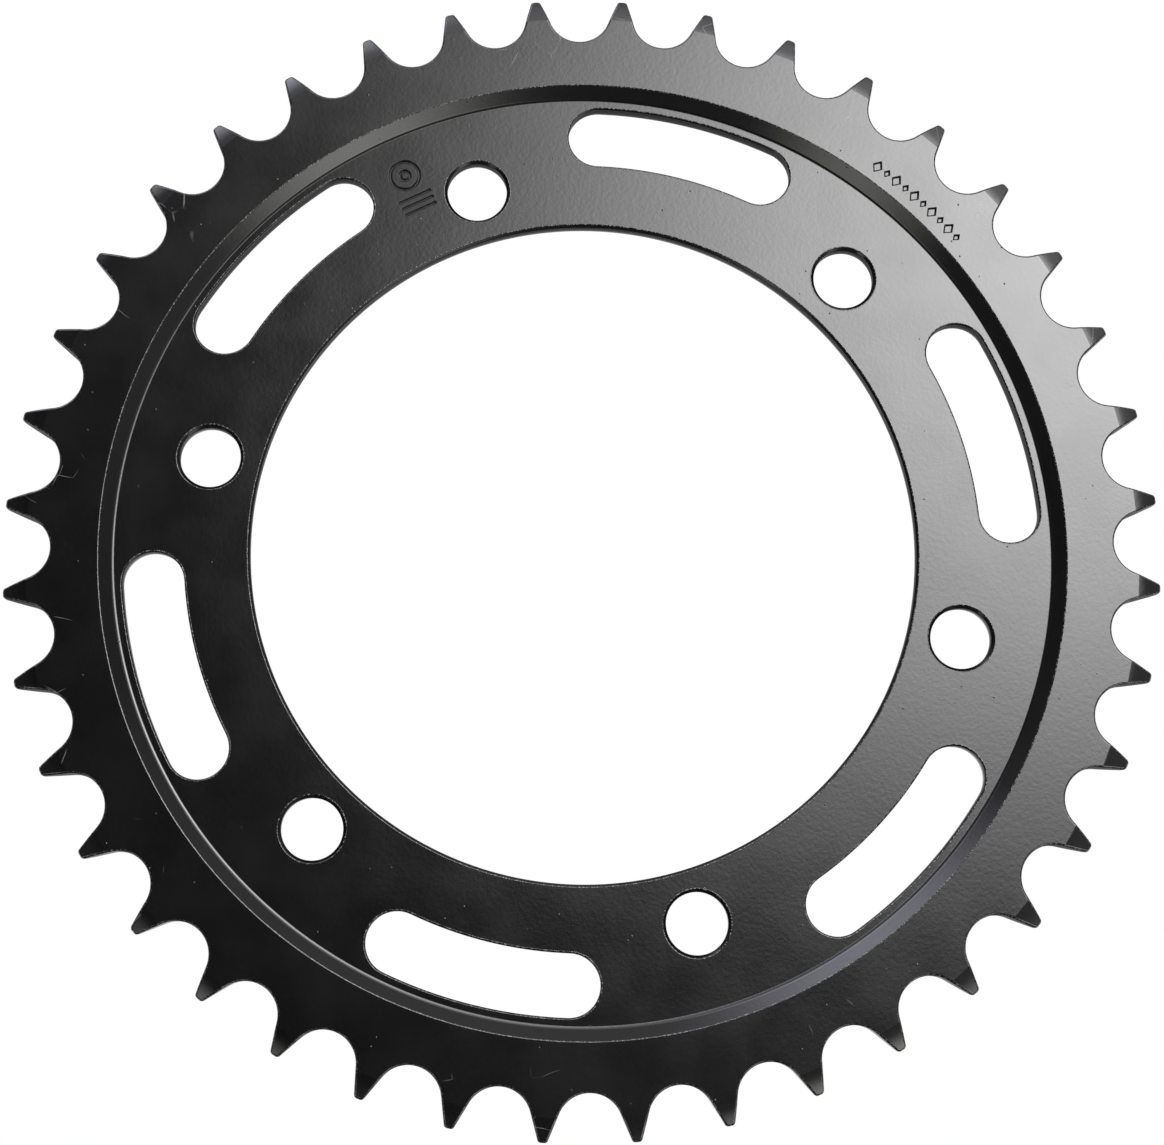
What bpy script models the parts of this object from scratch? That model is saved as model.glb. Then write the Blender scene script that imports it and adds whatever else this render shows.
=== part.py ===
"""Rear chain sprocket for a motorcycle: one machined steel plate with 40 teeth.

The axle axis is +Y. The recessed front face looks towards -Y and the flat back
face, which sits on the wheel carrier, looks towards +Y. +Z is up. The origin is
on the axle axis, half way through the thickness of the toothed ring.
Angles run anticlockwise from +X as seen from the front.
"""
import math

import bmesh
import bpy
from mathutils import Vector
from mathutils.geometry import delaunay_2d_cdt

MM = 0.001

# Chain and teeth
TOOTH_COUNT = 40
CHAIN_PITCH = 15.875 * MM
ROLLER_DIAMETER = 10.16 * MM
PLATE_THICKNESS = 5.8 * MM
SEAT_RADIUS = 5.82 * MM
FLANK_ANGLE = math.radians(23.2)
TIP_RADIUS = 104.8 * MM
TIP_CORNER = 0.65 * MM
BEVEL_RADIUS = 100.45 * MM
BEVEL_DEPTH = 1.25 * MM

# Recessed inner disc
STEP_TOP_RADIUS = 87.37 * MM
STEP_FOOT_RADIUS = 85.12 * MM
STEP_FILLET = 1.0 * MM
RECESS_DEPTH = 2.0 * MM

# Centre bore
BORE_RADIUS = 60.45 * MM
BORE_CHAMFER = 0.5 * MM

# Bolt holes
HOLE_COUNT = 6
HOLE_CIRCLE_RADIUS = 70.0 * MM
HOLE_RADIUS = 5.6 * MM
HOLE_CHAMFER = 0.45 * MM
HOLE_PHASE = math.radians(46.0)

# Lightening slots, each half way between two bolt holes
SLOT_CIRCLE_RADIUS = 77.9 * MM
SLOT_HALF_WIDTH = 5.55 * MM
SLOT_HALF_ANGLE = math.radians(11.5)
SLOT_CHAMFER = 0.45 * MM

# Mesh fineness
SEAT_STEPS = 4
CORNER_STEPS = 2
STEP_SEGMENTS = 120
BORE_SEGMENTS = 96
HOLE_SEGMENTS = 24
SLOT_SIDE_STEPS = 9
SLOT_END_STEPS = 9
SMOOTH_ANGLE = math.radians(30.0)
MATCH = 0.0001 * MM

# Paint
PAINT_COLOUR = (0.012, 0.012, 0.013, 1.0)
PAINT_ROUGHNESS = 0.32

# Derived sizes
TOOTH_ANGLE = 2.0 * math.pi / TOOTH_COUNT
PITCH_RADIUS = CHAIN_PITCH / (2.0 * math.sin(math.pi / TOOTH_COUNT))
ROOT_RADIUS = PITCH_RADIUS - ROLLER_DIAMETER / 2.0
FRONT_Y = -PLATE_THICKNESS / 2.0
BACK_Y = PLATE_THICKNESS / 2.0
FLOOR_Y = FRONT_Y + RECESS_DEPTH
BEVEL_SLOPE = BEVEL_DEPTH / (TIP_RADIUS - BEVEL_RADIUS)


def clear_scene():
    """Start from an empty scene."""
    for item in list(bpy.data.objects):
        bpy.data.objects.remove(item, do_unlink=True)


def paint_material(name):
    """Semi-gloss black paint."""
    material = bpy.data.materials.new(name)
    material.use_nodes = True
    shader = material.node_tree.nodes["Principled BSDF"]
    shader.inputs["Base Color"].default_value = PAINT_COLOUR
    shader.inputs["Roughness"].default_value = PAINT_ROUGHNESS
    shader.inputs["Metallic"].default_value = 0.0
    return material


def polar(radius, angle):
    """Point on the plate plane."""
    return (radius * math.cos(angle), radius * math.sin(angle))


def circle(radius, segments, centre=(0.0, 0.0)):
    """Closed ring of points round a centre."""
    points = []
    for step in range(segments):
        x, z = polar(radius, 2.0 * math.pi * step / segments)
        points.append((centre[0] + x, centre[1] + z))
    return points


def along_flank(across, along, radius):
    """Point where a line parallel to the flank meets a circle round the axle."""
    step_across = math.sin(FLANK_ANGLE)
    step_along = math.cos(FLANK_ANGLE)
    dot = across * step_across + along * step_along
    square = across * across + along * along
    length = -dot + math.sqrt(dot * dot - square + radius * radius)
    return (across + length * step_across, along + length * step_along)


def half_gap():
    """Half of one tooth gap: roller seat, straight flank and rounded tip corner.

    Each point is (across, along), measured from the gap's own centre line.
    """
    seat_centre = ROOT_RADIUS + SEAT_RADIUS
    turn = math.pi / 2.0 - FLANK_ANGLE
    points = []
    for step in range(SEAT_STEPS + 1):
        angle = turn * step / SEAT_STEPS
        across = SEAT_RADIUS * math.sin(angle)
        along = seat_centre - SEAT_RADIUS * math.cos(angle)
        points.append((across, along))
    foot_across, foot_along = points[-1]
    points.append(along_flank(foot_across, foot_along, BEVEL_RADIUS))
    shifted_across = foot_across + TIP_CORNER * math.cos(FLANK_ANGLE)
    shifted_along = foot_along - TIP_CORNER * math.sin(FLANK_ANGLE)
    corner = along_flank(shifted_across, shifted_along, TIP_RADIUS - TIP_CORNER)
    first = math.pi - FLANK_ANGLE
    last = math.atan2(corner[1], corner[0])
    for step in range(CORNER_STEPS + 1):
        angle = first + (last - first) * step / CORNER_STEPS
        across = corner[0] + TIP_CORNER * math.cos(angle)
        along = corner[1] + TIP_CORNER * math.sin(angle)
        points.append((across, along))
    return points


def tooth_outline():
    """Closed outline of all the teeth, starting at the root of the gap on +X."""
    half = half_gap()
    outline = []
    for index in range(TOOTH_COUNT):
        middle = index * TOOTH_ANGLE
        for across, along in reversed(half[1:]):
            outline.append(polar(math.hypot(across, along), middle - math.atan2(across, along)))
        for across, along in half:
            outline.append(polar(math.hypot(across, along), middle + math.atan2(across, along)))
    return outline


def slot_side(radius, first, last):
    """Long side of a slot, an arc round the axle."""
    points = []
    for step in range(SLOT_SIDE_STEPS + 1):
        points.append(polar(radius, first + (last - first) * step / SLOT_SIDE_STEPS))
    return points


def slot_end(half_width, place, first):
    """Half-round end of a slot, without the two points it shares with the sides."""
    cx, cz = polar(SLOT_CIRCLE_RADIUS, place)
    points = []
    for step in range(1, SLOT_END_STEPS):
        dx, dz = polar(half_width, first + math.pi * step / SLOT_END_STEPS)
        points.append((cx + dx, cz + dz))
    return points


def slot_ring(half_width, middle):
    """Kidney-shaped ring with full round ends."""
    low = middle - SLOT_HALF_ANGLE
    high = middle + SLOT_HALF_ANGLE
    points = slot_side(SLOT_CIRCLE_RADIUS + half_width, low, high)
    points += slot_end(half_width, high, high)
    points += slot_side(SLOT_CIRCLE_RADIUS - half_width, high, low)
    points += slot_end(half_width, low, low + math.pi)
    return points


def bevel_drop(x, z):
    """How far the side bevel of a tooth lies below the face at a point."""
    beyond = math.hypot(x, z) - BEVEL_RADIUS
    return max(0.0, beyond) * BEVEL_SLOPE


def add_ring(mesh, points, height):
    """Ring of vertices; height is a number or a function of the point."""
    ring = []
    for x, z in points:
        y = height(x, z) if callable(height) else height
        ring.append(mesh.verts.new((x, y, z)))
    return ring


def add_wall(mesh, first, second):
    """Band of faces between two rings of equal length."""
    count = len(first)
    for step in range(count):
        after = (step + 1) % count
        mesh.faces.new((first[step], first[after], second[after], second[step]))


def inside(x, z, ring):
    """True when a point lies inside a closed ring."""
    odd = False
    count = len(ring)
    for step in range(count):
        ax, az = ring[step]
        bx, bz = ring[(step + 1) % count]
        if (az > z) != (bz > z):
            cross = ax + (z - az) * (bx - ax) / (bz - az)
            odd = odd != (x < cross)
    return odd


def add_face(mesh, outer, openings, creases):
    """Flat or bevelled face between an outer ring and its openings.

    creases are open chains of vertices that the faces must follow.
    """
    verts = []
    edges = []
    rings = []
    for ring in [outer] + openings:
        start = len(verts)
        verts.extend(ring)
        rings.append([(v.co.x, v.co.z) for v in ring])
        for step in range(len(ring)):
            edges.append((start + step, start + (step + 1) % len(ring)))
    known = {vert: place for place, vert in enumerate(verts)}
    for chain in creases:
        places = []
        for vert in chain:
            if vert not in known:
                known[vert] = len(verts)
                verts.append(vert)
            places.append(known[vert])
        edges.extend(zip(places[:-1], places[1:]))
    flat = [Vector((v.co.x / MM, v.co.z / MM)) for v in verts]
    result = delaunay_2d_cdt(flat, edges, [], 0, 1.0e-6)
    for triangle in result[2]:
        corners = [verts[result[3][place][0]] for place in triangle]
        x = sum(v.co.x for v in corners) / len(corners)
        z = sum(v.co.z for v in corners) / len(corners)
        if not inside(x, z, rings[0]):
            continue
        if any(inside(x, z, ring) for ring in rings[1:]):
            continue
        mesh.faces.new(corners)


def tooth_creases(mesh, ring, height):
    """Chains across each tooth where the side bevel starts."""
    marks = [v for v in ring if abs(math.hypot(v.co.x, v.co.z) - BEVEL_RADIUS) < MATCH]
    chains = []
    for index in range(TOOTH_COUNT):
        first = marks[2 * index + 1]
        last = marks[(2 * index + 2) % len(marks)]
        middle = (index + 0.5) * TOOTH_ANGLE
        x, z = polar(BEVEL_RADIUS, middle)
        centre = mesh.verts.new((x, height, z))
        chains.append([first, centre, last])
    return chains


def add_opening(mesh, chamfer, wide, narrow):
    """Through opening, chamfered on both faces; returns its front and back rings."""
    front = add_ring(mesh, wide, FLOOR_Y)
    front_wall = add_ring(mesh, narrow, FLOOR_Y + chamfer)
    back_wall = add_ring(mesh, narrow, BACK_Y - chamfer)
    back = add_ring(mesh, wide, BACK_Y)
    add_wall(mesh, front, front_wall)
    add_wall(mesh, front_wall, back_wall)
    add_wall(mesh, back_wall, back)
    return front, back


def step_profile():
    """Radius and height of the step from the toothed ring down to the floor."""
    slope = math.atan2(STEP_TOP_RADIUS - STEP_FOOT_RADIUS, RECESS_DEPTH)
    turn = math.pi / 2.0 - slope
    reach = STEP_FILLET * math.tan(turn / 2.0)
    upper = (STEP_FOOT_RADIUS + reach * math.sin(slope), FLOOR_Y - reach * math.cos(slope))
    centre = (STEP_FOOT_RADIUS - reach, FLOOR_Y - STEP_FILLET)
    middle = (
        centre[0] + STEP_FILLET * math.sin(turn / 2.0),
        centre[1] + STEP_FILLET * math.cos(turn / 2.0),
    )
    lower = (STEP_FOOT_RADIUS - reach, FLOOR_Y)
    return [(STEP_TOP_RADIUS, FRONT_Y), upper, middle, lower]


def add_openings(mesh):
    """Centre bore, bolt holes and slots; returns their front and back rings."""
    wide = circle(BORE_RADIUS + BORE_CHAMFER, BORE_SEGMENTS)
    narrow = circle(BORE_RADIUS, BORE_SEGMENTS)
    pairs = [add_opening(mesh, BORE_CHAMFER, wide, narrow)]
    for index in range(HOLE_COUNT):
        angle = HOLE_PHASE + index * 2.0 * math.pi / HOLE_COUNT
        centre = polar(HOLE_CIRCLE_RADIUS, angle)
        wide = circle(HOLE_RADIUS + HOLE_CHAMFER, HOLE_SEGMENTS, centre)
        narrow = circle(HOLE_RADIUS, HOLE_SEGMENTS, centre)
        pairs.append(add_opening(mesh, HOLE_CHAMFER, wide, narrow))
        middle = angle + math.pi / HOLE_COUNT
        wide = slot_ring(SLOT_HALF_WIDTH + SLOT_CHAMFER, middle)
        narrow = slot_ring(SLOT_HALF_WIDTH, middle)
        pairs.append(add_opening(mesh, SLOT_CHAMFER, wide, narrow))
    return [front for front, back in pairs], [back for front, back in pairs]


def build_plate():
    """The sprocket plate as one closed body."""
    mesh = bmesh.new()
    outline = tooth_outline()
    front_teeth = add_ring(mesh, outline, lambda x, z: FRONT_Y + bevel_drop(x, z))
    back_teeth = add_ring(mesh, outline, lambda x, z: BACK_Y - bevel_drop(x, z))
    add_wall(mesh, front_teeth, back_teeth)

    step_rings = []
    for radius, height in step_profile():
        step_rings.append(add_ring(mesh, circle(radius, STEP_SEGMENTS), height))
    for upper, lower in zip(step_rings[:-1], step_rings[1:]):
        add_wall(mesh, upper, lower)

    front_openings, back_openings = add_openings(mesh)
    front_creases = tooth_creases(mesh, front_teeth, FRONT_Y)
    back_creases = tooth_creases(mesh, back_teeth, BACK_Y)
    add_face(mesh, front_teeth, [step_rings[0]], front_creases)
    add_face(mesh, step_rings[-1], front_openings, [])
    add_face(mesh, back_teeth, back_openings, back_creases)
    bmesh.ops.recalc_face_normals(mesh, faces=mesh.faces)
    return mesh


def main():
    """Build the sprocket and give it its paint."""
    clear_scene()
    solid = build_plate()
    data = bpy.data.meshes.new("sprocket_plate")
    solid.to_mesh(data)
    solid.free()
    data.materials.append(paint_material("black_paint"))
    data.shade_smooth()
    data.set_sharp_from_angle(angle=SMOOTH_ANGLE)
    plate = bpy.data.objects.new("sprocket_plate", data)
    bpy.context.scene.collection.objects.link(plate)


main()
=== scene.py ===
import math

import bpy
import numpy as np
from mathutils import Matrix, Vector
from mathutils.geometry import delaunay_2d_cdt


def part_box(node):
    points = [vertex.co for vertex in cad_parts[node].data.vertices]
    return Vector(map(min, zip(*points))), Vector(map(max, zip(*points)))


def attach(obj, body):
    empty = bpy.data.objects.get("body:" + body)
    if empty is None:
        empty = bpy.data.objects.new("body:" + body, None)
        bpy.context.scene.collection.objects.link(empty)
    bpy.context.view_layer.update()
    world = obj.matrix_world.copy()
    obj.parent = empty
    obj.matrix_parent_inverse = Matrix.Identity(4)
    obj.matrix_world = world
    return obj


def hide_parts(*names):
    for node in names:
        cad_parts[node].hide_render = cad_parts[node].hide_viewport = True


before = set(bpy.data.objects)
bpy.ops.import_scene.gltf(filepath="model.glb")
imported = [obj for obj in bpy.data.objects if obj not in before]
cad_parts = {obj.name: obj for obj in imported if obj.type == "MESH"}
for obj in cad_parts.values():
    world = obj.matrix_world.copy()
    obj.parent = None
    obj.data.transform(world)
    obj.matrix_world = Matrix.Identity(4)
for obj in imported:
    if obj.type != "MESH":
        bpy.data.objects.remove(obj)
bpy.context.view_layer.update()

MM = 0.001
CAD_LOW, CAD_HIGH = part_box("sprocket_plate")

# Driving dimensions of the plate, in millimetres
TOOTH_COUNT = 40
CHAIN_PITCH = 15.875
ROLLER_DIAMETER = 10.16
PLATE_THICKNESS = (CAD_HIGH[1] - CAD_LOW[1]) / MM
SEAT_RADIUS = 5.82
FLANK_ANGLE = math.radians(23.2)
TIP_RADIUS = 104.75
TIP_CORNER = 0.65
BEVEL_RADIUS = 100.45
BEVEL_CURVE = 17.0
BEVEL_START = math.radians(9.5)
STEP_TOP_RADIUS = 87.43
STEP_FOOT_RADIUS = 85.18
STEP_TOP_ROUND = 0.45
STEP_FOOT_ROUND = 1.05
RECESS_DEPTH = 2.0
BORE_RADIUS = 60.38
BORE_CHAMFER = 0.48
HOLE_COUNT = 6
HOLE_CIRCLE_RADIUS = 70.0
HOLE_RADIUS = 5.5
HOLE_CHAMFER = 0.58
HOLE_PHASE = math.radians(46.0)
SLOT_CIRCLE_RADIUS = 77.9
SLOT_HALF_WIDTH = 5.55
SLOT_HALF_ANGLE = math.radians(11.5)
SLOT_CHAMFER = 0.25

# Roundings that paint and deburring leave on the edges, and half the width of
# the crease where the bevel starts
TOOTH_ROUND = 0.4
CHAMFER_ROUND = 0.3
CREASE_HALF = 0.1

# How bare the paint wears on the edges, where a chamfer's edge on the face is 1
TOOTH_WEAR = 0.4
STEP_WEAR = 0.7

# The walls flare a little over their last stretch to the back face
FLARE_DEPTH = 2.4
FLARE_ANGLE = math.radians(5.5)

# Stamped marks: a row of lozenges on the toothed ring, large and small in turn,
# and a ringed dot over three bars on the recessed disc
ROW_RADIUS = 90.4
ROW_START = math.radians(52.2)
ROW_COUNT = 10
ROW_PITCH = 2.2
LOZENGE_HALVES = ((1.1, 1.4), (0.75, 0.95))
LOZENGE_CORNER = 0.12
EMBLEM_ANGLE = math.radians(115.0)
EMBLEM_RADIUS = 77.6
EMBLEM_RING = 2.7
EMBLEM_DOT = EMBLEM_RING / 3.0
EMBLEM_BARS = (-4.4, -5.7, -7.0)
EMBLEM_BAR_HALF = 3.2
# Cross-sections of the marks, from the face to the floor: half width of a groove
# or inset of a lozenge, then depth, then wall tilt in degrees
GROOVE = (
    (0.38, 0.0, 0.0),
    (0.34, 0.02, 30.0),
    (0.28, 0.1, 58.0),
    (0.15, 0.31, 58.0),
    (0.09, 0.36, 30.0),
    (0.04, 0.375, 0.0),
)
PIT = (
    (0.0, 0.0, 0.0),
    (0.05, 0.02, 30.0),
    (0.11, 0.1, 58.0),
    (0.24, 0.31, 58.0),
    (0.3, 0.36, 30.0),
    (0.35, 0.375, 0.0),
)

# Mesh fineness
SEAT_STEPS = 12
FLANK_ROWS = (0.6, 1.2, 1.8, 2.4, 3.0)
CORNER_STEPS = 5
TOOTH_COLUMNS = 6
ROUND_STEPS = 5
STEP_SEGMENTS = 360
BORE_SEGMENTS = 240
HOLE_SEGMENTS = 64
SLOT_SIDE_STEPS = 20
SLOT_END_STEPS = 24
GROOVE_END_STEPS = 8
GROOVE_CORNER_STEPS = 5
GROOVE_RING_STEPS = 40
FILL_TOLERANCE = 1e-6

# Derived sizes
TOOTH_ANGLE = 2.0 * math.pi / TOOTH_COUNT
PITCH_RADIUS = CHAIN_PITCH / (2.0 * math.sin(math.pi / TOOTH_COUNT))
ROOT_RADIUS = PITCH_RADIUS - ROLLER_DIAMETER / 2.0
FRONT_Y = -PLATE_THICKNESS / 2.0
STEP_SLOPE = math.atan2(RECESS_DEPTH, STEP_TOP_RADIUS - STEP_FOOT_RADIUS)
STEP_OUTER = STEP_TOP_RADIUS + STEP_TOP_ROUND * math.tan(STEP_SLOPE / 2.0)
STEP_INNER = STEP_FOOT_RADIUS - STEP_FOOT_ROUND * math.tan(STEP_SLOPE / 2.0)


def polar(radius, angle):
    return radius * math.cos(angle), radius * math.sin(angle)


# ---------------------------------------------------------------- face shapes


def bevel(radius):
    """Depth and outward tilt of the toothed ring's face at a radius."""
    if radius <= BEVEL_RADIUS:
        return 0.0, 0.0
    tilt = math.asin(math.sin(BEVEL_START) + (radius - BEVEL_RADIUS) / BEVEL_CURVE)
    return BEVEL_CURVE * (math.cos(BEVEL_START) - math.cos(tilt)), tilt


def step_rows():
    """Radius, depth, tilt and edge nearness of each circle, from the ring down."""
    rows = []
    for i in range(ROUND_STEPS + 1):
        tilt = STEP_SLOPE * i / ROUND_STEPS
        radius = STEP_OUTER - STEP_TOP_ROUND * math.sin(tilt)
        near = STEP_WEAR * math.sin(math.pi * i / ROUND_STEPS)
        rows.append((radius, STEP_TOP_ROUND * (1.0 - math.cos(tilt)), -tilt, near))
    for i in range(ROUND_STEPS, -1, -1):
        tilt = STEP_SLOPE * i / ROUND_STEPS
        radius = STEP_INNER + STEP_FOOT_ROUND * math.sin(tilt)
        depth = RECESS_DEPTH - STEP_FOOT_ROUND * (1.0 - math.cos(tilt))
        rows.append((radius, depth, -tilt, 0.0))
    return rows


def front_face(radius):
    """Depth and tilt of the front face, on the disc or on the toothed ring."""
    if radius < STEP_INNER:
        return RECESS_DEPTH, 0.0
    return bevel(radius)


# ------------------------------------------------------------- edge profiles
# A profile runs from a face to a wall as (inset from the wall, drop from the
# face, turn, nearness to a worn edge), where turn goes from 0 on the face to a
# right angle on the wall.


def rounded_edge(size):
    """A quarter round, worn most in its middle."""
    profile = []
    for i in range(ROUND_STEPS + 1):
        turn = math.pi / 2.0 * i / ROUND_STEPS
        inset, drop = size * (1.0 - math.sin(turn)), size * (1.0 - math.cos(turn))
        profile.append((inset, drop, turn, TOOTH_WEAR * math.sin(2.0 * turn)))
    return profile


def chamfered_edge(size, rounding):
    """A chamfer with both its edges rounded, worn only at its edge on the face."""
    reach = rounding * math.tan(math.pi / 8.0)
    profile = []
    for i in range(ROUND_STEPS + 1):
        turn = math.pi / 4.0 * i / ROUND_STEPS
        inset, drop = size + reach - rounding * math.sin(turn), rounding * (1.0 - math.cos(turn))
        profile.append((inset, drop, turn, math.sin(4.0 * turn)))
    for i in range(ROUND_STEPS + 1):
        turn = math.pi / 4.0 * (1.0 + i / ROUND_STEPS)
        inset, drop = rounding * (1.0 - math.sin(turn)), size + reach - rounding * math.cos(turn)
        profile.append((inset, drop, turn, 0.0))
    return profile


def flared(profile):
    """A profile for the back of a wall that leans away over its last stretch."""
    flare = FLARE_DEPTH * math.tan(FLARE_ANGLE) / 2.0
    squeeze = 1.0 - FLARE_ANGLE / (math.pi / 2.0)
    rows = [(inset + flare, drop, turn * squeeze, near) for inset, drop, turn, near in profile]
    end = profile[-1][1]
    for i in range(1, ROUND_STEPS + 1):
        left = 1.0 - i / ROUND_STEPS
        turn = math.pi / 2.0 - FLARE_ANGLE * left
        rows.append((flare * left * left, end + FLARE_DEPTH * (1.0 - left), turn, 0.0))
    return rows


# ------------------------------------------------------------------ outlines
# An outline is a list of (x, z, normal x, normal z), its normals pointing out
# of the steel.


def circle_outline(centre_x, centre_z, radius, count):
    outline = []
    for i in range(count):
        x, z = polar(1.0, 2.0 * math.pi * i / count)
        outline.append((centre_x + radius * x, centre_z + radius * z, -x, -z))
    return outline


def slot_outline(middle):
    outline = []
    outer = SLOT_CIRCLE_RADIUS + SLOT_HALF_WIDTH
    inner = SLOT_CIRCLE_RADIUS - SLOT_HALF_WIDTH
    first, last = middle - SLOT_HALF_ANGLE, middle + SLOT_HALF_ANGLE
    for i in range(SLOT_SIDE_STEPS):
        x, z = polar(1.0, first + (last - first) * i / SLOT_SIDE_STEPS)
        outline.append((outer * x, outer * z, -x, -z))
    outline += slot_end(last, last)
    for i in range(SLOT_SIDE_STEPS):
        x, z = polar(1.0, last + (first - last) * i / SLOT_SIDE_STEPS)
        outline.append((inner * x, inner * z, x, z))
    outline += slot_end(first, first + math.pi)
    return outline


def slot_end(place, start):
    centre_x, centre_z = polar(SLOT_CIRCLE_RADIUS, place)
    outline = []
    for i in range(SLOT_END_STEPS):
        x, z = polar(1.0, start + math.pi * i / SLOT_END_STEPS)
        outline.append((centre_x + SLOT_HALF_WIDTH * x, centre_z + SLOT_HALF_WIDTH * z, -x, -z))
    return outline


def along_flank(across, along, radius):
    """Where the flank's straight line through a point meets a radius."""
    step_across, step_along = math.sin(FLANK_ANGLE), math.cos(FLANK_ANGLE)
    dot = across * step_across + along * step_along
    length = -dot + math.sqrt(dot * dot - (across**2 + along**2) + radius**2)
    return across + length * step_across, along + length * step_along


def half_gap():
    """Half a tooth gap and the rise to the next tip, from the gap's centre line.

    Points are (across, along, normal across, normal along), from the bottom of
    the gap to the end of the tip's corner.
    """
    seat_centre = ROOT_RADIUS + SEAT_RADIUS
    turn = math.pi / 2.0 - FLANK_ANGLE
    points = []
    for i in range(SEAT_STEPS + 1):
        angle = turn * i / SEAT_STEPS
        normal = (-math.sin(angle), math.cos(angle))
        points.append((-SEAT_RADIUS * normal[0], seat_centre - SEAT_RADIUS * normal[1], *normal))
    foot = points[-1]
    normal = (-math.cos(FLANK_ANGLE), math.sin(FLANK_ANGLE))
    inner = (foot[0] - TOOTH_ROUND * normal[0], foot[1] - TOOTH_ROUND * normal[1])
    rows = [BEVEL_RADIUS - CREASE_HALF, BEVEL_RADIUS + CREASE_HALF]
    rows += [BEVEL_RADIUS + row for row in FLANK_ROWS]
    for radius in rows:
        across, along = along_flank(*inner, radius)
        points.append((across + TOOTH_ROUND * normal[0], along + TOOTH_ROUND * normal[1], *normal))
    shifted = (foot[0] - TIP_CORNER * normal[0], foot[1] - TIP_CORNER * normal[1])
    corner = along_flank(*shifted, TIP_RADIUS - TIP_CORNER)
    start = math.atan2(normal[1], normal[0])
    end = math.atan2(corner[1], corner[0])
    for i in range(CORNER_STEPS + 1):
        x, z = polar(1.0, start + (end - start) * i / CORNER_STEPS)
        points.append((corner[0] + TIP_CORNER * x, corner[1] + TIP_CORNER * z, x, z))
    return points


def tooth_points(middle, side, half):
    """Half a gap's points in place; side is 1 anticlockwise of its middle, or -1."""
    placed = []
    for across, along, normal_across, normal_along in half:
        x, z = polar(math.hypot(across, along), middle + side * math.atan2(across, along))
        out_x = normal_along * math.cos(middle) - side * normal_across * math.sin(middle)
        out_z = normal_along * math.sin(middle) + side * normal_across * math.cos(middle)
        placed.append((x, z, out_x, out_z))
    return placed


# ----------------------------------------------------------------- the shell


class Shell:
    """Points with their own normals, and the faces between them."""

    def __init__(self):
        self.points = []
        self.normals = []
        self.edges_near = []
        self.faces = []

    def add(self, x, y, z, normal, near=0.0):
        self.points.append(Vector((x, y, z)))
        self.normals.append(Vector(normal).normalized())
        self.edges_near.append(near)
        return len(self.points) - 1

    def face(self, *corners):
        a, b, c = (self.points[i] for i in corners[:3])
        facing = (b - a).cross(c - a)
        if facing.dot(sum((self.normals[i] for i in corners), Vector())) < 0.0:
            corners = corners[::-1]
        self.faces.append(corners)

    def band(self, ring, other):
        for i in range(len(ring)):
            j = (i + 1) % len(ring)
            self.face(ring[i], ring[j], other[j], other[i])

    def flat(self, bound, cuts):
        """Triangles inside a closed ring of points and outside its cuts.

        A cut is (ring, island): the island, where there is one, is a ring inside
        the cut whose own inside is filled again.
        """
        rings = [bound] + [ring for cut in cuts for ring in cut if ring]
        ids = [i for ring in rings for i in ring]
        places = [Vector((self.points[i].x, self.points[i].z)) for i in ids]
        edges = []
        start = 0
        for ring in rings:
            count = len(ring)
            edges += [(start + i, start + (i + 1) % count) for i in range(count)]
            start += count
        result = delaunay_2d_cdt(places, edges, [], 0, FILL_TOLERANCE)
        origin = [ids[source[0]] for source in result[3]]
        triangles = [[origin[i] for i in face] for face in result[2]]
        xz = np.array([[self.points[i].x, self.points[i].z] for i in range(len(self.points))])
        middles = xz[np.array(triangles)].mean(axis=1)
        kept = inside(middles, xz[bound])
        for ring, island in cuts:
            kept &= ~inside(middles, xz[ring])
            if island:
                kept |= inside(middles, xz[island])
        for triangle, keep in zip(triangles, kept):
            if keep:
                self.face(*triangle)


def inside(middles, polygon):
    """For each point, whether it lies inside a closed polygon."""
    result = np.zeros(len(middles), bool)
    following = np.roll(polygon, -1, axis=0)
    for (x0, z0), (x1, z1) in zip(polygon, following):
        if z0 == z1:
            continue
        crosses = (z0 > middles[:, 1]) != (z1 > middles[:, 1])
        at = x0 + (middles[:, 1] - z0) * (x1 - x0) / (z1 - z0)
        result ^= crosses & (middles[:, 0] < at)
    return result


def face_normal(x, z, tilt, facing):
    radius = math.hypot(x, z)
    lean = math.sin(tilt)
    return Vector((lean * x / radius, facing * math.cos(tilt), lean * z / radius))


def edge_rings(shell, outline, profile, facing, surface):
    """The rings of an edge, from its face to its wall, on one side of the plate."""
    rings = []
    for inset, drop, turn, near in profile:
        ring = []
        for x, z, out_x, out_z in outline:
            place_x, place_z = x - inset * out_x, z - inset * out_z
            depth, tilt = surface(math.hypot(place_x, place_z))
            flat = face_normal(place_x, place_z, tilt, facing)
            normal = flat * math.cos(turn) + Vector((out_x, 0.0, out_z)) * math.sin(turn)
            y = facing * (PLATE_THICKNESS / 2.0 - depth - drop)
            ring.append(shell.add(place_x, y, place_z, normal, near))
        rings.append(ring)
    for ring, following in zip(rings, rings[1:]):
        shell.band(ring, following)
    return rings


def add_opening(shell, outline, profile):
    """An opening through the plate; gives its face rings, front and back."""
    front = edge_rings(shell, outline, profile, -1.0, front_face)
    back = edge_rings(shell, outline, flared(profile), 1.0, bevel)
    shell.band(front[-1], back[-1])
    return front[0], back[0]


def add_step(shell):
    rings = []
    for radius, depth, tilt, near in step_rows():
        ring = []
        for i in range(STEP_SEGMENTS):
            x, z = polar(radius, 2.0 * math.pi * i / STEP_SEGMENTS)
            normal = face_normal(x, z, tilt, -1.0)
            ring.append(shell.add(x, FRONT_Y + depth, z, normal, near))
        rings.append(ring)
    for ring, following in zip(rings, rings[1:]):
        shell.band(ring, following)
    return rings[0], rings[-1]


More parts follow.
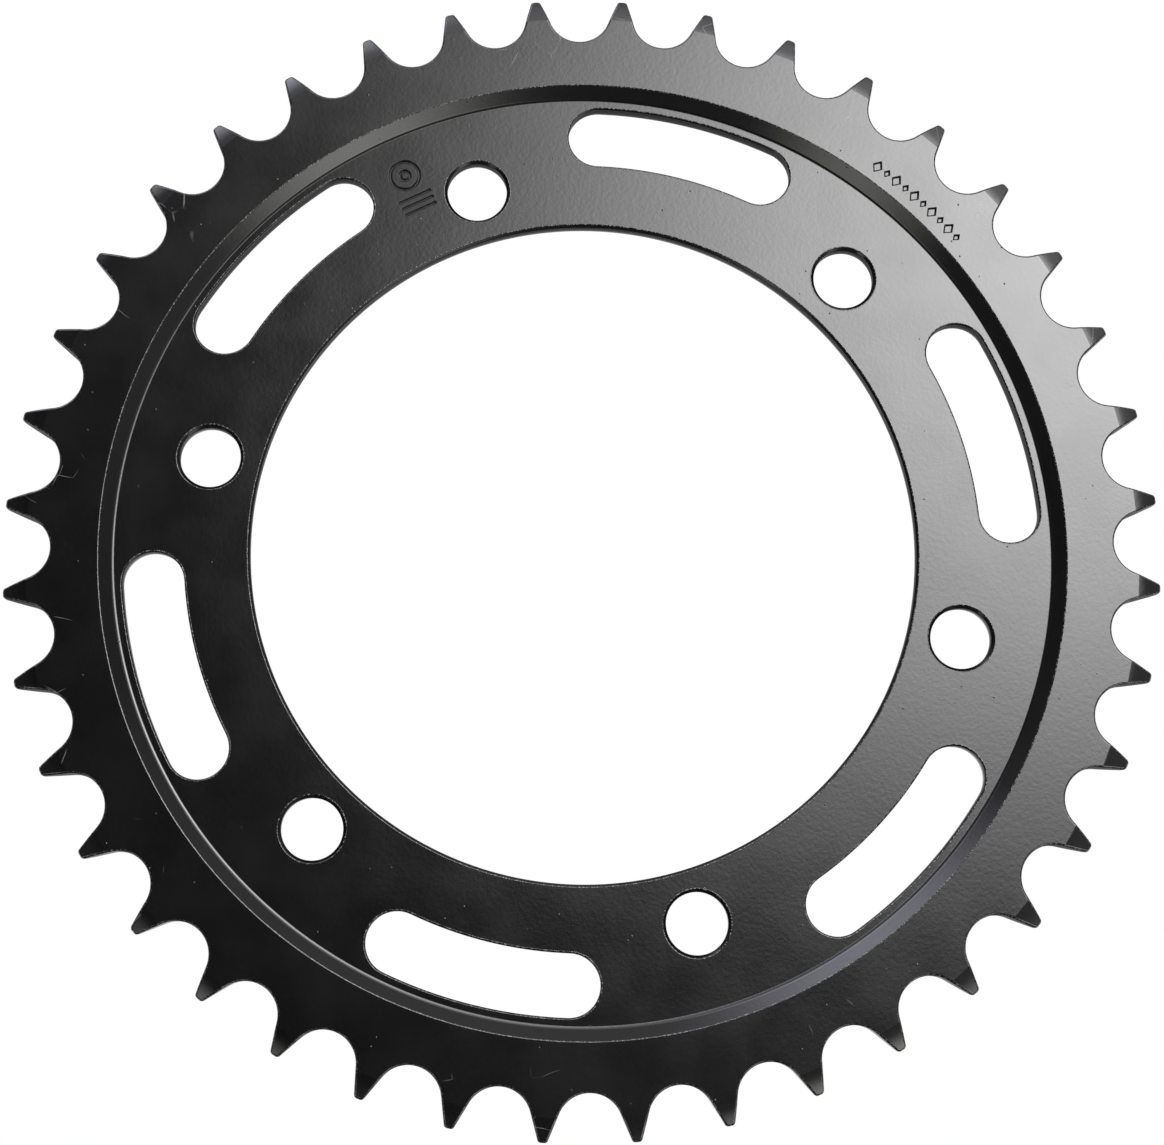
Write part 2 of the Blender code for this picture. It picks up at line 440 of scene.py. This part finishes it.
def add_teeth(shell):
    """The toothed edge; gives the rings that bound the flat of each face."""
    half = half_gap()
    seat_end = SEAT_STEPS + 1
    outline = []
    for tooth in range(TOOTH_COUNT):
        middle = tooth * TOOTH_ANGLE
        outline += tooth_points(middle, 1.0, half)
        tip = middle + TOOTH_ANGLE / 2.0
        low = math.atan2(outline[-1][1], outline[-1][0])
        span = 2.0 * ((tip - low + math.pi) % (2.0 * math.pi) - math.pi)
        for i in range(1, TOOTH_COLUMNS):
            x, z = polar(1.0, low + span * i / TOOTH_COLUMNS)
            outline.append((TIP_RADIUS * x, TIP_RADIUS * z, x, z))
        outline += reversed(tooth_points(middle + TOOTH_ANGLE, -1.0, half)[1:])
    per_tooth = len(outline) // TOOTH_COUNT
    profile = rounded_edge(TOOTH_ROUND)
    bounds = []
    walls = []
    for facing, rows in ((-1.0, profile), (1.0, flared(profile))):
        rings = edge_rings(shell, outline, rows, facing, bevel)
        walls.append(rings[-1])
        bound = []
        for tooth in range(TOOTH_COUNT):
            ring = rings[0][tooth * per_tooth:(tooth + 1) * per_tooth]
            bound += add_tooth_face(shell, ring, len(half), seat_end, facing)
        bounds.append(bound)
    shell.band(walls[0], walls[1])
    return bounds


def add_tooth_face(shell, ring, half_count, seat_end, facing):
    """A tooth's bevelled face as rows of quads; gives the ring without it."""
    rising = ring[seat_end:half_count]
    tip = ring[half_count - 1:half_count + TOOTH_COLUMNS]
    falling = ring[half_count + TOOTH_COLUMNS - 1:][::-1][seat_end - 1:half_count - 1]
    rows = []
    for low, high in zip(rising[:-1], falling[:-1]):
        start, end = shell.points[low], shell.points[high]
        radius = math.hypot(start.x, start.z)
        depth, tilt = bevel(radius)
        first = math.atan2(start.z, start.x)
        span = (math.atan2(end.z, end.x) - first + math.pi) % (2.0 * math.pi) - math.pi
        row = [low]
        for i in range(1, TOOTH_COLUMNS):
            x, z = polar(radius, first + span * i / TOOTH_COLUMNS)
            normal = face_normal(x, z, tilt, facing)
            row.append(shell.add(x, facing * (PLATE_THICKNESS / 2.0 - depth), z, normal))
        rows.append(row + [high])
    rows.append(tip)
    for row, following in zip(rows, rows[1:]):
        for i in range(TOOTH_COLUMNS):
            shell.face(row[i], row[i + 1], following[i + 1], following[i])
    return ring[:seat_end] + rows[0] + ring[len(ring) - seat_end + 1:]


# ------------------------------------------------------------- stamped marks
# A stroke is the middle of a groove or the outline of a pit, as a list of (u, v,
# normal u, normal v, base). Its ring at an offset passes through the point (u, v)
# plus (base + offset) times the normal. In a mark's own frame u runs clockwise
# round the plate and v runs outward.


def bar_stroke(start, end):
    middle = math.atan2(end[1] - start[1], end[0] - start[0])
    stroke = []
    for centre, turn in ((end, middle), (start, middle + math.pi)):
        for i in range(GROOVE_END_STEPS + 1):
            angle = turn + math.pi * (i / GROOVE_END_STEPS - 0.5)
            stroke.append((*centre, *polar(1.0, angle), 0.0))
    return stroke


def lozenge_stroke(half_u, half_v, rounding):
    side = math.hypot(half_u, half_v)
    inner = 1.0 - rounding * side / (half_u * half_v)
    lean = math.atan2(half_u, half_v)
    corners = ((half_u, 0.0, 0.0, lean), (0.0, half_v, 90.0, math.pi / 2.0 - lean),
               (-half_u, 0.0, 180.0, lean), (0.0, -half_v, 270.0, math.pi / 2.0 - lean))
    stroke = []
    for u, v, middle, spread in corners:
        for i in range(GROOVE_CORNER_STEPS + 1):
            angle = math.radians(middle) + spread * (2.0 * i / GROOVE_CORNER_STEPS - 1.0)
            stroke.append((u * inner, v * inner, *polar(1.0, angle), rounding))
    return stroke


def ring_stroke(radius):
    angles = [2.0 * math.pi * i / GROOVE_RING_STEPS for i in range(GROOVE_RING_STEPS)]
    return [(0.0, 0.0, *polar(1.0, angle), radius) for angle in angles]


def groove_ring(shell, stroke, place, offset, depth, tilt):
    """One ring of a groove or pit, in a mark placed at (radius, angle)."""
    place_radius, place_angle = place
    ring = []
    for u, v, normal_u, normal_v, base in stroke:
        reach = base + offset
        radius = place_radius + v + reach * normal_v
        angle = place_angle - (u + reach * normal_u) / place_radius
        x, z = polar(radius, angle)
        lean = math.sin(math.radians(tilt))
        out_x = normal_v * math.cos(angle) + normal_u * math.sin(angle)
        out_z = normal_v * math.sin(angle) - normal_u * math.cos(angle)
        normal = (-lean * out_x, -math.cos(math.radians(tilt)), -lean * out_z)
        ring.append(shell.add(x, FRONT_Y + front_face(radius)[0] + depth, z, normal))
    return ring


def open_groove(shell, stroke, place):
    """A groove along a bar; gives its outer ring and no island."""
    rings = [groove_ring(shell, stroke, place, *row) for row in GROOVE]
    for ring, following in zip(rings, rings[1:]):
        shell.band(ring, following)
    shell.face(*rings[-1])
    return rings[0], None


def closed_groove(shell, stroke, place):
    """A groove round a loop; gives its outer ring and the ring of its island."""
    rows = list(GROOVE) + [(-half, depth, -tilt) for half, depth, tilt in reversed(GROOVE)]
    rings = [groove_ring(shell, stroke, place, *row) for row in rows]
    for ring, following in zip(rings, rings[1:]):
        shell.band(ring, following)
    return rings[0], rings[-1]


def lozenge_pit(shell, half_u, half_v, place):
    """A lozenge pressed in to a flat floor; gives its outer ring and no island."""
    reach = half_u * half_v / math.hypot(half_u, half_v)
    rings = []
    for inset, depth, tilt in PIT:
        left = 1.0 - inset / reach
        stroke = lozenge_stroke(half_u * left, half_v * left, LOZENGE_CORNER * left)
        rings.append(groove_ring(shell, stroke, place, 0.0, depth, tilt))
    for ring, following in zip(rings, rings[1:]):
        shell.band(ring, following)
    shell.face(*rings[-1])
    return rings[0], None


def stamp_row(shell):
    pits = []
    for i in range(ROW_COUNT):
        place = (ROW_RADIUS, ROW_START - i * ROW_PITCH / ROW_RADIUS)
        pits.append(lozenge_pit(shell, *LOZENGE_HALVES[i % 2], place))
    return pits


def stamp_emblem(shell):
    place = (EMBLEM_RADIUS, EMBLEM_ANGLE)
    grooves = [closed_groove(shell, ring_stroke(EMBLEM_RING), place)]
    grooves.append(closed_groove(shell, ring_stroke(EMBLEM_DOT), place))
    for v in EMBLEM_BARS:
        stroke = bar_stroke((-EMBLEM_BAR_HALF, v), (EMBLEM_BAR_HALF, v))
        grooves.append(open_groove(shell, stroke, place))
    return grooves


def build_plate():
    shell = Shell()
    front_bound, back_bound = add_teeth(shell)
    step_outer, step_inner = add_step(shell)
    openings = [add_opening(
        shell,
        circle_outline(0.0, 0.0, BORE_RADIUS, BORE_SEGMENTS),
        chamfered_edge(BORE_CHAMFER, CHAMFER_ROUND),
    )]
    for i in range(HOLE_COUNT):
        angle = HOLE_PHASE + 2.0 * math.pi * i / HOLE_COUNT
        outline = circle_outline(*polar(HOLE_CIRCLE_RADIUS, angle), HOLE_RADIUS, HOLE_SEGMENTS)
        openings.append(add_opening(shell, outline, chamfered_edge(HOLE_CHAMFER, CHAMFER_ROUND)))
        outline = slot_outline(angle + math.pi / HOLE_COUNT)
        openings.append(add_opening(shell, outline, chamfered_edge(SLOT_CHAMFER, CHAMFER_ROUND)))
    fronts = [front for front, back in openings]
    backs = [back for front, back in openings]

    shell.flat(front_bound, [(step_outer, None)] + stamp_row(shell))
    shell.flat(step_inner, [(front, None) for front in fronts] + stamp_emblem(shell))
    shell.flat(back_bound, [(back, None) for back in backs])
    return shell


def make_piece(shell, name):
    mesh = bpy.data.meshes.new(name)
    mesh.from_pydata([point * MM for point in shell.points], [], shell.faces)
    near = mesh.attributes.new("edge_near", "FLOAT", "POINT")
    near.data.foreach_set("value", shell.edges_near)
    mesh.polygons.foreach_set("use_smooth", [True] * len(mesh.polygons))
    mesh.normals_split_custom_set_from_vertices(shell.normals)
    mesh.update()
    piece = bpy.data.objects.new(name, mesh)
    bpy.context.scene.collection.objects.link(piece)
    return piece


# --------------------------------------------------------------------- paint
# Lengths here are in metres, and scales in cells per metre. A pair of levels is
# where a noise, from 0 to 1, starts to count and where it counts in full. Detail
# is a noise's finer layers.

FINE_DETAIL = 1.0
CLOUD_DETAIL = 3.0
FLOOR_DETAIL = 4.0

# Relief
PEEL_SCALE = 1550.0
PEEL_DEPTH = 0.0000062
NIB_SCALE = 300.0
NIB_HEIGHT = 0.00004
NIB_RADIUS = 0.0002
EDGE_GRIT = 0.00003

# Scratches: a net of cell borders, bent, broken into short pieces, and kept to
# the toothed ring. The line's pair is the distance from a border, in cells, and
# the reach's is the distance from the axle.
SCRATCH_SCALE = 130.0
SCRATCH_LINE = (0.011, 0.004)
SCRATCH_BEND_SCALE = 45.0
SCRATCH_BEND = 0.02
SCRATCH_BREAK_SCALE = 160.0
SCRATCH_BREAK = (0.62, 0.7)
SCRATCH_REACH = (0.091, 0.095)

# Wear and scuffs, which show as pale grey
GRIT_SCALE = 3200.0
WORN_LEVELS = (0.5, 0.66)
SPECK_SCALE = 260.0
SPECK_RADIUS = 0.00007
SCUFF_STRENGTH = 0.4
WORN_GREY = (0.2, 0.2, 0.195, 1.0)

# Tone and gloss
CLOUD_SCALE = 70.0
CLOUD_SHARE = 0.5
GRIT_SHARE = 0.5
TONE_LEVELS = (0.25, 0.75)
PAINT_DARK = (0.0014, 0.0014, 0.0016, 1.0)
PAINT_LIGHT = (0.0046, 0.0046, 0.0048, 1.0)
GLOSS_SCALE = 90.0
GLOSS_LEVELS = (0.3, 0.7)
ROUGH_LOW = 0.12
ROUGH_HIGH = 0.16
ROUGH_WORN = 0.3

FLOOR_ROUGHNESS = 0.8
FLOOR_SCALE = 3.0
FLOOR_DARK = (0.78, 0.78, 0.77, 1.0)
FLOOR_LIGHT = (0.82, 0.82, 0.81, 1.0)


def node(tree, kind, inputs=None, **settings):
    made = tree.nodes.new(kind)
    for key, value in settings.items():
        setattr(made, key, value)
    for key, value in (inputs or {}).items():
        if isinstance(value, bpy.types.NodeSocket):
            tree.links.new(value, made.inputs[key])
        else:
            made.inputs[key].default_value = value
    return made


def math_node(tree, operation, first, second=0.0, third=0.0):
    made = node(tree, "ShaderNodeMath", {0: first, 1: second, 2: third}, operation=operation)
    return made.outputs["Value"]


def ramp(tree, value, start, end, low=0.0, high=1.0):
    """A smooth rise from low to high as the value goes from start to end."""
    made = node(tree, "ShaderNodeMapRange", {
        "Value": value,
        "From Min": start,
        "From Max": end,
        "To Min": low,
        "To Max": high,
    }, interpolation_type="SMOOTHSTEP")
    return made.outputs["Result"]


def noise(tree, place, scale, detail):
    made = node(tree, "ShaderNodeTexNoise", {"Vector": place, "Scale": scale, "Detail": detail})
    return made.outputs["Fac"]


def spots(tree, place, scale, radius):
    """Scattered round spots, 1 in the middle; the scale is cells per metre."""
    cells = node(tree, "ShaderNodeTexVoronoi", {"Vector": place, "Scale": scale})
    return ramp(tree, cells.outputs["Distance"], radius * scale, 0.0)


def hairlines(tree, place):
    """Short curved scratches on the toothed ring."""
    bend = node(tree, "ShaderNodeTexNoise", {
        "Vector": place,
        "Scale": SCRATCH_BEND_SCALE,
        "Detail": 0.0,
    })
    moved = node(tree, "ShaderNodeVectorMath", {
        0: bend.outputs["Color"],
        1: (SCRATCH_BEND, SCRATCH_BEND, SCRATCH_BEND),
        2: place,
    }, operation="MULTIPLY_ADD")
    cells = node(tree, "ShaderNodeTexVoronoi", {
        "Vector": moved.outputs["Vector"],
        "Scale": SCRATCH_SCALE,
    }, feature="DISTANCE_TO_EDGE")
    line = ramp(tree, cells.outputs["Distance"], *SCRATCH_LINE)
    broken = ramp(tree, noise(tree, place, SCRATCH_BREAK_SCALE, FINE_DETAIL), *SCRATCH_BREAK)
    across = node(tree, "ShaderNodeVectorMath", {
        0: place,
        1: (1.0, 0.0, 1.0),
    }, operation="MULTIPLY")
    reach = node(tree, "ShaderNodeVectorMath", {0: across.outputs["Vector"]}, operation="LENGTH")
    outer = ramp(tree, reach.outputs["Value"], *SCRATCH_REACH)
    scratch = math_node(tree, "MULTIPLY", line, broken)
    return math_node(tree, "MULTIPLY", scratch, outer)


def black_paint():
    """Semi-gloss black paint: orange peel, dust nibs, scuffs and worn edges."""
    material = bpy.data.materials.new("black_paint_surface")
    material.use_nodes = True
    tree = material.node_tree
    shader = tree.nodes["Principled BSDF"]
    place = node(tree, "ShaderNodeTexCoord").outputs["Object"]
    near = node(tree, "ShaderNodeAttribute", attribute_name="edge_near").outputs["Fac"]
    grit = noise(tree, place, GRIT_SCALE, FINE_DETAIL)
    worn = math_node(tree, "MULTIPLY", near, ramp(tree, grit, *WORN_LEVELS))
    specks = spots(tree, place, SPECK_SCALE, SPECK_RADIUS)
    marked = math_node(tree, "MAXIMUM", hairlines(tree, place), specks)
    bare = math_node(tree, "MAXIMUM", worn, math_node(tree, "MULTIPLY", marked, SCUFF_STRENGTH))
    cloud = noise(tree, place, CLOUD_SCALE, CLOUD_DETAIL)
    cloud = math_node(tree, "MULTIPLY", cloud, CLOUD_SHARE)
    grain = math_node(tree, "MULTIPLY_ADD", grit, GRIT_SHARE, cloud)
    tone = node(tree, "ShaderNodeValToRGB", {"Fac": grain})
    for element, level, shade in zip(
        tone.color_ramp.elements, TONE_LEVELS, (PAINT_DARK, PAINT_LIGHT),
    ):
        element.position = level
        element.color = shade
    colour = node(tree, "ShaderNodeMix", {
        "Factor": bare,
        6: tone.outputs["Color"],
        7: WORN_GREY,
    }, data_type="RGBA")
    gloss = noise(tree, place, GLOSS_SCALE, CLOUD_DETAIL)
    rough = ramp(tree, gloss, *GLOSS_LEVELS, ROUGH_LOW, ROUGH_HIGH)
    roughness = math_node(tree, "MULTIPLY_ADD", bare, ROUGH_WORN, rough)
    peel = node(tree, "ShaderNodeBump", {
        "Strength": 1.0,
        "Distance": PEEL_DEPTH,
        "Height": noise(tree, place, PEEL_SCALE, FINE_DETAIL),
    })
    nibs = node(tree, "ShaderNodeBump", {
        "Strength": 1.0,
        "Distance": NIB_HEIGHT,
        "Height": spots(tree, place, NIB_SCALE, NIB_RADIUS),
        "Normal": peel.outputs["Normal"],
    })
    pitted = node(tree, "ShaderNodeBump", {
        "Strength": 1.0,
        "Distance": EDGE_GRIT,
        "Height": math_node(tree, "MULTIPLY", near, grit),
        "Normal": nibs.outputs["Normal"],
    })
    tree.links.new(colour.outputs[2], shader.inputs["Base Color"])
    tree.links.new(roughness, shader.inputs["Roughness"])
    tree.links.new(pitted.outputs["Normal"], shader.inputs["Normal"])
    return material


def pale_floor():
    material = bpy.data.materials.new("pale_floor_surface")
    material.use_nodes = True
    tree = material.node_tree
    shader = tree.nodes["Principled BSDF"]
    shader.inputs["Roughness"].default_value = FLOOR_ROUGHNESS
    place = node(tree, "ShaderNodeTexCoord").outputs["Object"]
    cloud = noise(tree, place, FLOOR_SCALE, FLOOR_DETAIL)
    colour = node(tree, "ShaderNodeValToRGB", {"Fac": cloud})
    colour.color_ramp.elements[0].color = FLOOR_DARK
    colour.color_ramp.elements[1].color = FLOOR_LIGHT
    tree.links.new(colour.outputs["Color"], shader.inputs["Base Color"])
    return material


# -------------------------------------------------------------------- lights
# The studio is a dim room, lighter overhead and towards +X, with a faint glow and
# a white wall behind the plate. Each lamp is a soft oval patch: (heading from the
# front, -Y, towards +X, height, half width, half height, roll, brightness,
# softness, colour), with angles in degrees. The first eight are in front of the
# plate, and the rest are beside and behind it.

LAMPS = (
    (16.0, 16.0, 13.0, 8.5, 23.0, 10.0, 0.8, (1.0, 1.0, 1.0)),
    (20.0, 22.0, 16.0, 13.0, -53.0, 6.6, 0.8, (1.0, 1.0, 1.0)),
    (23.0, 42.0, 30.0, 19.0, -10.0, 2.1, 0.98, (1.0, 1.0, 1.04)),
    (-48.0, 56.0, 14.0, 13.0, -41.0, 5.5, 0.98, (0.97, 0.97, 1.14)),
    (42.0, -43.0, 15.0, 13.0, -23.0, 4.6, 0.98, (1.0, 1.0, 0.98)),
    (-46.0, -38.0, 16.0, 8.5, 46.0, 2.6, 0.98, (1.0, 1.0, 0.96)),
    (46.0, -19.0, 31.0, 45.0, 5.0, 0.46, 0.98, (1.0, 1.0, 0.96)),
    (-46.0, -30.0, 45.0, 20.0, -70.0, 0.18, 0.98, (1.0, 1.0, 1.0)),
    (133.0, -20.0, 15.0, 17.0, 0.0, 3.2, 0.98, (1.0, 1.0, 1.0)),
    (-133.0, -20.0, 15.0, 17.0, 0.0, 2.2, 0.98, (1.0, 1.0, 1.0)),
    (98.0, 8.0, 7.0, 30.0, 0.0, 1.4, 0.98, (1.0, 1.0, 1.0)),
    (118.0, 20.0, 13.0, 30.0, 0.0, 0.8, 0.98, (1.0, 1.0, 1.0)),
    (-98.0, 8.0, 7.0, 30.0, 0.0, 1.4, 0.98, (1.0, 1.0, 1.0)),
    (-118.0, 20.0, 13.0, 30.0, 0.0, 0.8, 0.98, (1.0, 1.0, 1.0)),
)
ROOM_LEFT = 0.0
ROOM_RIGHT = 0.07
ROOM_TOP = 0.64
GLOW_START = 0.8
GLOW_FULL = 0.95
GLOW = 0.14
WALL_START = 0.98
WALL_FULL = 1.0
LEAST_DEPTH = 0.02


def dot_node(tree, way, axis):
    made = node(tree, "ShaderNodeVectorMath", {0: way, 1: tuple(axis)}, operation="DOT_PRODUCT")
    return made.outputs["Value"]


def lamp_patch(tree, way, lamp):
    """The light of one lamp, for a direction."""
    heading, height, half_width, half_height, roll, brightness, softness, colour = lamp
    turn = Matrix.Rotation(math.radians(heading), 3, "Z")
    turn = turn @ Matrix.Rotation(math.radians(-height), 3, "X")
    turn = turn @ Matrix.Rotation(math.radians(-roll), 3, "Y")
    ahead = turn @ Vector((0.0, -1.0, 0.0))
    across = turn @ Vector((1.0, 0.0, 0.0)) / math.tan(math.radians(half_width))
    upward = turn @ Vector((0.0, 0.0, 1.0)) / math.tan(math.radians(half_height))
    depth = math_node(tree, "MAXIMUM", dot_node(tree, way, ahead), LEAST_DEPTH)
    side = math_node(tree, "DIVIDE", dot_node(tree, way, across), depth)
    rise = math_node(tree, "DIVIDE", dot_node(tree, way, upward), depth)
    square = math_node(tree, "MULTIPLY_ADD", side, side, math_node(tree, "MULTIPLY", rise, rise))
    out = math_node(tree, "SQRT", square)
    patch = ramp(tree, out, 1.0 + softness, 1.0 - softness, 0.0, brightness)
    tint = node(tree, "ShaderNodeVectorMath", {0: colour, "Scale": patch}, operation="SCALE")
    return tint.outputs["Vector"]


def light_studio():
    """The room, the glow, the lamps and the white wall, in the world's shader."""
    world = bpy.data.worlds.new("studio")
    bpy.context.scene.world = world
    world.use_nodes = True
    tree = world.node_tree
    tree.nodes.clear()
    way = node(tree, "ShaderNodeTexCoord").outputs["Generated"]
    parts = node(tree, "ShaderNodeSeparateXYZ", {"Vector": way})
    side = node(tree, "ShaderNodeMapRange", {
        "Value": parts.outputs["X"],
        "From Min": -1.0,
        "From Max": 1.0,
        "To Min": ROOM_LEFT,
        "To Max": ROOM_RIGHT,
    })
    upper = math_node(tree, "MAXIMUM", parts.outputs["Z"], 0.0)
    top = math_node(tree, "MULTIPLY", math_node(tree, "MULTIPLY", upper, upper), ROOM_TOP)
    total = math_node(tree, "ADD", side.outputs["Result"], top)
    glow = ramp(tree, parts.outputs["Y"], GLOW_START, GLOW_FULL, 0.0, GLOW)
    total = math_node(tree, "ADD", total, glow)
    for lamp in LAMPS:
        light = lamp_patch(tree, way, lamp)
        total = node(tree, "ShaderNodeVectorMath", {0: total, 1: light}).outputs["Vector"]
    behind = ramp(tree, parts.outputs["Y"], WALL_START, WALL_FULL)
    # The camera sees white all round, and the plate reflects the room and lamps
    seen = node(tree, "ShaderNodeLightPath").outputs["Is Camera Ray"]
    white = math_node(tree, "MAXIMUM", behind, seen)
    rest = math_node(tree, "SUBTRACT", 1.0, white)
    mixed = node(tree, "ShaderNodeVectorMath", {
        0: total,
        1: rest,
        2: white,
    }, operation="MULTIPLY_ADD")
    background = node(tree, "ShaderNodeBackground", {"Color": mixed.outputs["Vector"]})
    output = node(tree, "ShaderNodeOutputWorld")
    tree.links.new(background.outputs["Background"], output.inputs["Surface"])


# ----------------------------------------------------------- floor and camera

FLOOR_DROP = 0.10
FLOOR_SIZE = 3.0
CAMERA_PLACE = Vector((-0.0153, -0.4774, -0.0832))
CAMERA_HEADING = math.radians(1.413)
CAMERA_RISE = math.radians(12.214)
CAMERA_ROLL = math.radians(0.463)
CAMERA_LENS = 82.56
CAMERA_SHIFT = (0.0157, -0.1145)
SENSOR_WIDTH = 36.0


def add_floor():
    half = FLOOR_SIZE / 2.0
    height = CAD_LOW[2] - FLOOR_DROP
    corners = [(-half, -half), (half, -half), (half, half), (-half, half)]
    mesh = bpy.data.meshes.new("floor")
    mesh.from_pydata([(x, y, height) for x, y in corners], [], [(0, 1, 2, 3)])
    mesh.materials.append(pale_floor())
    floor = bpy.data.objects.new("floor", mesh)
    floor.visible_glossy = False
    bpy.context.scene.collection.objects.link(floor)


def add_camera():
    data = bpy.data.cameras.new("camera")
    data.lens = CAMERA_LENS
    data.sensor_width = SENSOR_WIDTH
    data.shift_x, data.shift_y = CAMERA_SHIFT
    camera = bpy.data.objects.new("camera", data)
    turn = Matrix.Rotation(-CAMERA_HEADING, 4, "Z")
    turn = turn @ Matrix.Rotation(math.pi / 2.0 + CAMERA_RISE, 4, "X")
    turn = turn @ Matrix.Rotation(-CAMERA_ROLL, 4, "Z")
    camera.matrix_world = Matrix.Translation(CAMERA_PLACE) @ turn
    bpy.context.scene.collection.objects.link(camera)
    bpy.context.scene.camera = camera


plate = make_piece(build_plate(), "sprocket")
plate.data.materials.append(black_paint())
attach(plate, "root")
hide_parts("sprocket_plate")
add_floor()
light_studio()
add_camera()
bpy.context.scene.view_settings.view_transform = "Standard"
